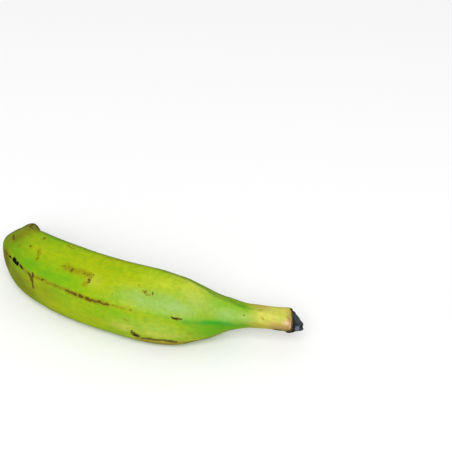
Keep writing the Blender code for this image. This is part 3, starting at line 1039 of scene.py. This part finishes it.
def skin_material(settings):
    """Waxy green skin with broad tones, some of them painted shade, sheen and highlight, and with fine
    streaks, rubbed places, scars and scabs.
    """
    material, tree, shader = start_material("plantain skin")
    place = tree.attribute(PLACE_FIELD, "Vector")
    crust = tree.noise(place, CRUST_SCALE)
    masks = ragged_masks(tree, place, MARK_NAMES)
    tops = {name: list(getattr(settings, name)) for name in MARK_NAMES}
    tops["brown"] = tree.dimmed(tops["brown"], tree.range(crust, *SCAR_LIGHT_RANGE))
    color = covered(tree, skin_color(tree, place, settings), masks, tops)

    worn = tree.math("MAXIMUM", masks["brown"], masks["black"])
    fine_streaks = streaks(tree, place, *FINE_STREAKS)
    roughness = tree.range(fine_streaks, *SKIN_ROUGHNESS_RANGE)
    bloom = tree.attribute("bloom")
    roughness = tree.weighted((roughness, 1.0), (bloom, BLOOM_ROUGHNESS), (worn, WORN_ROUGHNESS))
    pores = tree.add("TexVoronoi", {"Vector": place, "Scale": PORE_SCALE}).outputs["Distance"]
    crusted = tree.math("MULTIPLY", worn, crust)
    height = tree.weighted((fine_streaks, 0.5), (pores, 0.18), (crusted, 1.2))
    inputs = {
        "Base Color": color,
        "Roughness": roughness,
        "Specular IOR Level": SKIN_SPECULAR,
        "Normal": tree.add("Bump", {**SKIN_BUMP, "Height": height}).outputs["Normal"],
    }
    tree.fill(shader, inputs)
    return material


def dried_material(settings):
    """Dried, blackened tissue with lengthwise fibres, a slate-grey sheen and pale ashy patches that are
    partly painted reflection and painted highlight.
    """
    material, tree, shader = start_material("plantain dried tissue")
    place = tree.attribute(PLACE_FIELD, "Vector")
    fibres = streaks(tree, place, *FIBRES)
    tops = {name: list(getattr(settings, name)) for name in ("slate", "ash", "bark")}
    color = covered(tree, list(settings.dark), ragged_masks(tree, place, tops), tops)
    crumbs = tree.noise(place, CRUMB_SCALE, detail=4.0, roughness=0.7)
    height = tree.weighted((fibres, 0.8), (crumbs, 1.0))
    inputs = {
        "Base Color": tree.dimmed(color, tree.range(fibres, *DRIED_LIGHT_RANGE)),
        "Roughness": tree.range(fibres, *DRIED_ROUGHNESS_RANGE),
        "Normal": tree.add("Bump", {**DRIED_BUMP, "Height": height}).outputs["Normal"],
    }
    tree.fill(shader, inputs)
    return material


def add_object(context, name, data):
    """Puts data in the scene as an object, in place of one of the same name."""
    old = bpy.data.objects.get(name)
    if old:
        bpy.data.objects.remove(old, do_unlink=True)
    item = bpy.data.objects.new(name, data)
    context.scene.collection.objects.link(item)
    return item


def add_piece(context, name, mesh, material):
    """Puts a mesh in the scene as a piece of the fruit."""
    mesh.materials.append(material)
    piece = add_object(context, name, mesh)
    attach(piece, BODY)
    return piece


def skin_relief(form, fields, places, settings):
    """Low relief of the skin in mm: keels on the ridges, dents, flutes on the stem, scars and scabs."""
    relief = settings.dent_depth / MILLIMETRE * noise_field(places, DENT_SIZE, 3)
    to_ridge = np.full(form.reach.shape, np.inf)
    for ridge in RIDGE_ANGLES:
        to_ridge = np.minimum(to_ridge, np.abs(turned(form.angles[None, :], ridge)) * form.reach)
    keel = np.exp(-(to_ridge / KEEL_HALF_WIDTH) ** 2)
    keel_share = 1 - KEEL_VARIATION + KEEL_VARIATION * noise_field(places, KEEL_WAVE_SIZE, 2)
    relief += settings.keel_height / MILLIMETRE * keel * keel_share
    on_stem = smooth_step(FLUTES_FROM, FLUTES_FULL, form.distance)[:, None]
    relief += FLUTE_HEIGHT * on_stem * waves_around(np.radians(form.angles), FLUTE_WAVES)[None, :]
    scab = smooth_step(*SCAB_RISE, np.maximum(fields["brown"] * BROWN_SCAB_SHARE, fields["black"]))
    relief += settings.scar_height / MILLIMETRE * scab
    return relief


class PLANTAIN_OT_skin(bpy.types.Operator):
    """Builds the skin over the whole fruit, with its ridges, relief, tones and marks"""

    bl_idname = "plantain.skin"
    bl_label = "Build skin"

    def execute(self, context):
        settings = context.scene.plantain_skin
        form = Form(settings.rings, angles_around(settings.columns))
        fields = {**mark_fields(form), **tone_fields(form)}
        places = skin_places(form)
        edge_wave = noise_field(places, EDGE_WAVE_SIZE, 3)
        self.brown_the_edges(form, fields, edge_wave)
        reach = form.reach + skin_relief(form, fields, places, settings)
        reach -= EDGE_ROUNDING * np.clip(1 - form.distance[:, None] / EDGE_ROUNDING_LENGTH, 0, 1) ** 2
        rings = form.points(reach) + form.offset
        rings += self.drawn_back(form, edge_wave[0])
        lip, cap = self.tucked_rings(form, rings[0], reach[-1])

        rings = np.concatenate([lip, rings, cap])
        margins = ((len(lip), len(cap)), (0, 0))
        fields = {name: np.pad(field, margins, mode="edge") for name, field in fields.items()}
        places = np.pad(places, (*margins, (0, 0)), mode="edge")
        places[: len(lip), :, 0] -= np.array(LIP_RINGS)[:, 2:]
        places[-len(cap) :, :, 0] += np.array(CAP_RINGS)[:, 2:]
        mesh = ring_mesh("plantain_skin", rings, fields, places)
        piece = add_piece(context, "plantain_skin", mesh, skin_material(settings))
        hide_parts(FRUIT_NODE)
        return {"FINISHED"}

    def brown_the_edges(self, form, fields, edge_wave):
        """Adds a ragged brown edge beside each dried end."""
        from_edge = form.distance[:, None] + SKIN_EDGE_WANDER * edge_wave
        from_tip = SKIN_LENGTH - form.distance[:, None] + TIP_WANDER * edge_wave
        for away, width in ((from_edge, SKIN_EDGE_BROWN), (from_tip, TIP_BROWN)):
            fields["brown"] = np.maximum(fields["brown"], smooth_step(2 * width, 0.0, away))

    def drawn_back(self, form, edge_wave):
        """How far the skin moves back from the stub beside its edge, for every ring and column."""
        turn = form.turn[0]
        from_top = turned(np.degrees(turn), TOP_RECESS_ANGLE) / math.radians(TOP_RECESS_SPREAD)
        recede = LOBE_RECESS * stub_lobe(turn) + TOP_RECESS * np.exp(-(from_top ** 2))
        recede += EDGE_RAGGEDNESS * edge_wave
        pull = recede[None, :] * smooth_step(RECESS_LENGTH, 0.0, form.distance)[:, None]
        return form.travel[:, None] * pull[..., None]

    def tucked_rings(self, form, edge, tip_reach):
        """Rings that lead the skin in under the stub, and rings that close it under the dried cap."""
        stem, tip = End(form, 0, -1), End(form, -1, 1)
        lip = [edge + stem.outwards * beyond - stem.spokes * inset for beyond, inset, _ in LIP_RINGS]
        cap = [tip.ring(beyond, tip_reach * share) for beyond, share, _ in CAP_RINGS]
        return lip, cap


class PLANTAIN_OT_ends(bpy.types.Operator):
    """Builds the torn dried stem end and the dried blossom end"""

    bl_idname = "plantain.ends"
    bl_label = "Build dried ends"

    def execute(self, context):
        settings = context.scene.plantain_ends
        angles = angles_around(settings.columns // len(RIDGE_ANGLES), crowding=0.0)
        form = Form(context.scene.plantain_skin.rings, angles)
        material = dried_material(settings)
        self.build_stem_end(context, form, material, settings)
        self.build_blossom_end(context, form, material, settings)
        return {"FINISHED"}

    def build_stem_end(self, context, form, material, settings):
        stem = End(form, 0, -1)
        rings = through(self.stub_guides(stem), settings.rings)
        beyond, width, around = stem.measured(rings)
        places = around_axis(beyond, width, around)
        folds = 1 - 2 * np.abs(noise_field(places * np.array(FOLD_STRETCH), FOLD_SIZE, 2))
        lumps = noise_field(places, LUMP_SIZE, 3)
        grain = noise_field(places, GRAIN_SIZE, 2)
        relief = FOLD_SHARE * folds + LUMP_SHARE * lumps + GRAIN_SHARE * grain
        relief = settings.wrinkle_depth / MILLIMETRE * relief * smooth_step(*STUB_RELIEF_RISE, beyond)
        rings = rings + outward_normals(rings) * relief[..., None]

        fields = patches(STUB_PATCHES, beyond, np.degrees(around), width)
        # The grey sheen, partly painted reflection, takes at least its least share and fades out under the
        # skin's edge and at the soot patches.
        clean = smooth_step(*STUB_BLOOM_RISE, beyond) * (1 - np.minimum(fields.pop("soot"), 1))
        fields["slate"] = np.maximum(fields["slate"], LEAST_SLATE) * clean
        fields["bark"] = smooth_step(*STUB_BARK_FALL, beyond) * STUB_BARK
        mesh = ring_mesh("dried_stem_end", rings, fields, places)
        add_piece(context, "dried_stem_end", mesh, material)

    def stub_guides(self, stem):
        """Rings from inside the stem, along the stub's ragged side and over its end face to its middle."""
        turn = stem.turn
        edge = stem.reach - STUB_INSET
        lobe = stub_lobe(turn)
        side_length = STUB_RIM_LENGTH + STUB_SLANT * np.cos(turn - math.radians(STUB_LONGEST_AT))
        side_length = side_length + STUB_RAGGEDNESS * waves_around(turn, STUB_RIM_WAVES)
        side_length = np.maximum(side_length, STUB_SHORTEST)
        foot_width = edge - STUB_FOOT_INSET + LOBE_FOOT_HEIGHT * lobe
        guides = [
            stem.ring(-STUB_ROOT_DEPTH, edge * STUB_ROOT_SHARE),
            stem.ring(-LOBE_FOOT_DEPTH * lobe - STUB_FOOT_DEPTH, foot_width),
        ]
        for share, width in STUB_SIDE_RINGS:
            curl = lobe * (1 - share) ** 2
            length = side_length * share - LOBE_OVERLAP * curl
            guides.append(stem.ring(length, edge * width + LOBE_HEIGHT * curl))
        rim = STUB_SIDE_RINGS[-1][1]
        for width in STUB_FACE_RINGS:
            dome = STUB_CENTRE_LENGTH + (side_length - STUB_CENTRE_LENGTH) * (width / rim) ** 2
            dent = STUB_RAGGEDNESS * np.sin(STUB_DENTS * turn + STUB_DENT_SWIRL * width)
            guides.append(stem.ring(dome + dent * width, edge * width))
        guides.append(stem.ring(STUB_CENTRE_LENGTH, np.full(len(turn), STUB_MIDDLE_WIDTH)))
        return guides

    def build_blossom_end(self, context, form, material, settings):
        tip = End(form, -1, 1)
        guides = [tip.ring(beyond, tip.reach * share) for beyond, share in BLOSSOM_RINGS]
        rings = through(guides, settings.rings // 2)
        beyond, width, around = tip.measured(rings)
        places = around_axis(beyond + SKIN_LENGTH, width, around)
        share = width / tip.reach
        crown = smooth_step(*CROWN_LOBE_RISE, share) * np.cos(CROWN_LOBES * around + CROWN_PHASE)
        folds = np.sin(CROWN_FOLDS * around + CROWN_FOLD_SWIRL * share)
        grain = noise_field(places, CROWN_GRAIN_SIZE, 3)
        relief = CROWN_SHARE * crown + CROWN_GRAIN_SHARE * grain + CROWN_FOLD_SHARE * folds
        relief = settings.wrinkle_depth / MILLIMETRE * relief * smooth_step(*CAP_RELIEF_RISE, beyond)
        rings = rings + outward_normals(rings) * relief[..., None]
        bark = np.maximum(smooth_step(*CROWN_RIM_RISE, share), smooth_step(*CROWN_MIDDLE_FALL, share))
        # The blossom end takes the least share of the grey sheen, partly painted reflection, and no pale
        # patches.
        fields = {
            "slate": np.full(width.shape, LEAST_SLATE),
            "ash": np.zeros(width.shape),
            "bark": CROWN_BARK * bark,
        }
        mesh = ring_mesh("dried_blossom_end", rings, fields, places)
        add_piece(context, "dried_blossom_end", mesh, material)


# Camera: where it looks in metres, and where it stands in degrees and metres from there.
CAMERA_AIM = (0.01967, 0.09434, 0.0237)
CAMERA_AZIMUTH = 31.0
CAMERA_ELEVATION = 37.0
CAMERA_DISTANCE = 0.8
SENSOR_WIDTH = 36.0

# Share of the floor's and the surround's brightness that shows in reflections.
GLOSSY_DIM = 0.12

# Key light: where it stands, where it aims and how wide it is, in metres.
KEY_LIGHT_PLACE = (1.1, -2.1, 2.5)
KEY_LIGHT_AIM = (0.0, 0.0, 0.02)
KEY_LIGHT_SIZE = 2.8

FLOOR_ROUGHNESS = 0.9
FLOOR_SPECULAR = 0.1
WHITE = (1.0, 1.0, 1.0, 1.0)


def aim_at(item, target):
    """Turns a camera or a light towards a point."""
    direction = Vector(target) - item.location
    item.rotation_euler = direction.to_track_quat("-Z", "Y").to_euler()


class PLANTAIN_OT_stage(bpy.types.Operator):
    """Builds the pale floor, the soft light and the camera"""

    bl_idname = "plantain.stage"
    bl_label = "Build stage"

    def execute(self, context):
        settings = context.scene.plantain_stage
        self.add_floor(context, settings)
        self.add_light(context, settings)
        self.add_camera(context, settings)
        view = context.scene.view_settings
        view.view_transform = "Standard"
        view.look = "None"
        return {"FINISHED"}

    def add_floor(self, context, settings):
        half = settings.floor_size / 2
        mesh = bpy.data.meshes.new("floor")
        corners = [(-half, -half, 0), (half, -half, 0), (half, half, 0), (-half, half, 0)]
        mesh.from_pydata(corners, [], [(0, 1, 2, 3)])
        material, tree, shader = start_material("studio floor")
        dim = [share * GLOSSY_DIM for share in settings.floor_color[:3]] + [1.0]
        glossy = tree.add("LightPath").outputs["Is Glossy Ray"]
        inputs = {
            "Base Color": tree.mix(glossy, list(settings.floor_color), dim),
            "Roughness": FLOOR_ROUGHNESS,
            "Specular IOR Level": FLOOR_SPECULAR,
        }
        tree.fill(shader, inputs)
        mesh.materials.append(material)
        floor = add_object(context, "floor", mesh)

    def add_light(self, context, settings):
        world = bpy.data.worlds.new("studio surround")
        world.use_nodes = True
        tree = Tree(world.node_tree)
        glossy = tree.add("LightPath").outputs["Is Glossy Ray"]
        bright = settings.surround_light
        strength = tree.range(glossy, 0.0, 1.0, bright, bright * GLOSSY_DIM)
        tree.fill(world.node_tree.nodes["Background"], {"Color": WHITE, "Strength": strength})
        context.scene.world = world
        data = bpy.data.lights.new("key light", "AREA")
        data.shape = "DISK"
        data.size = KEY_LIGHT_SIZE
        data.energy = settings.key_power
        light = add_object(context, "key light", data)
        light.location = KEY_LIGHT_PLACE
        aim_at(light, KEY_LIGHT_AIM)

    def add_camera(self, context, settings):
        azimuth = math.radians(CAMERA_AZIMUTH)
        elevation = math.radians(CAMERA_ELEVATION)
        level = CAMERA_DISTANCE * math.cos(elevation)
        height = CAMERA_DISTANCE * math.sin(elevation)
        away = Vector((math.sin(azimuth) * level, -math.cos(azimuth) * level, height))
        data = bpy.data.cameras.new("camera")
        data.sensor_width = SENSOR_WIDTH
        data.lens = settings.focal_length
        camera = add_object(context, "camera", data)
        camera.location = Vector(CAMERA_AIM) + away
        aim_at(camera, CAMERA_AIM)
        context.scene.camera = camera


class PLANTAIN_PT_panel(bpy.types.Panel):
    """Lists the pieces and the settings that shape them"""

    bl_label = "Plantain"
    bl_idname = "PLANTAIN_PT_panel"
    bl_space_type = "VIEW_3D"
    bl_region_type = "UI"
    bl_category = "Plantain"

    def draw(self, context):
        layout = self.layout
        scene = context.scene
        groups = (
            (PLANTAIN_OT_skin, scene.plantain_skin),
            (PLANTAIN_OT_ends, scene.plantain_ends),
            (PLANTAIN_OT_stage, scene.plantain_stage),
        )
        for operator, settings in groups:
            box = layout.box()
            for name in settings.bl_rna.properties.keys():
                if name not in ("rna_type", "name"):
                    box.prop(settings, name)
            box.operator(operator.bl_idname)


CLASSES = (
    PlantainSkinSettings,
    PlantainEndSettings,
    PlantainStageSettings,
    PLANTAIN_OT_skin,
    PLANTAIN_OT_ends,
    PLANTAIN_OT_stage,
    PLANTAIN_PT_panel,
)


def register():
    for item in CLASSES:
        bpy.utils.register_class(item)
    bpy.types.Scene.plantain_skin = PointerProperty(type=PlantainSkinSettings)
    bpy.types.Scene.plantain_ends = PointerProperty(type=PlantainEndSettings)
    bpy.types.Scene.plantain_stage = PointerProperty(type=PlantainStageSettings)


def unregister():
    del bpy.types.Scene.plantain_stage
    del bpy.types.Scene.plantain_ends
    del bpy.types.Scene.plantain_skin
    for item in reversed(CLASSES):
        bpy.utils.unregister_class(item)


def main():
    register()
    bpy.ops.plantain.skin()
    bpy.ops.plantain.ends()
    bpy.ops.plantain.stage()


if __name__ == "__main__":
    main()
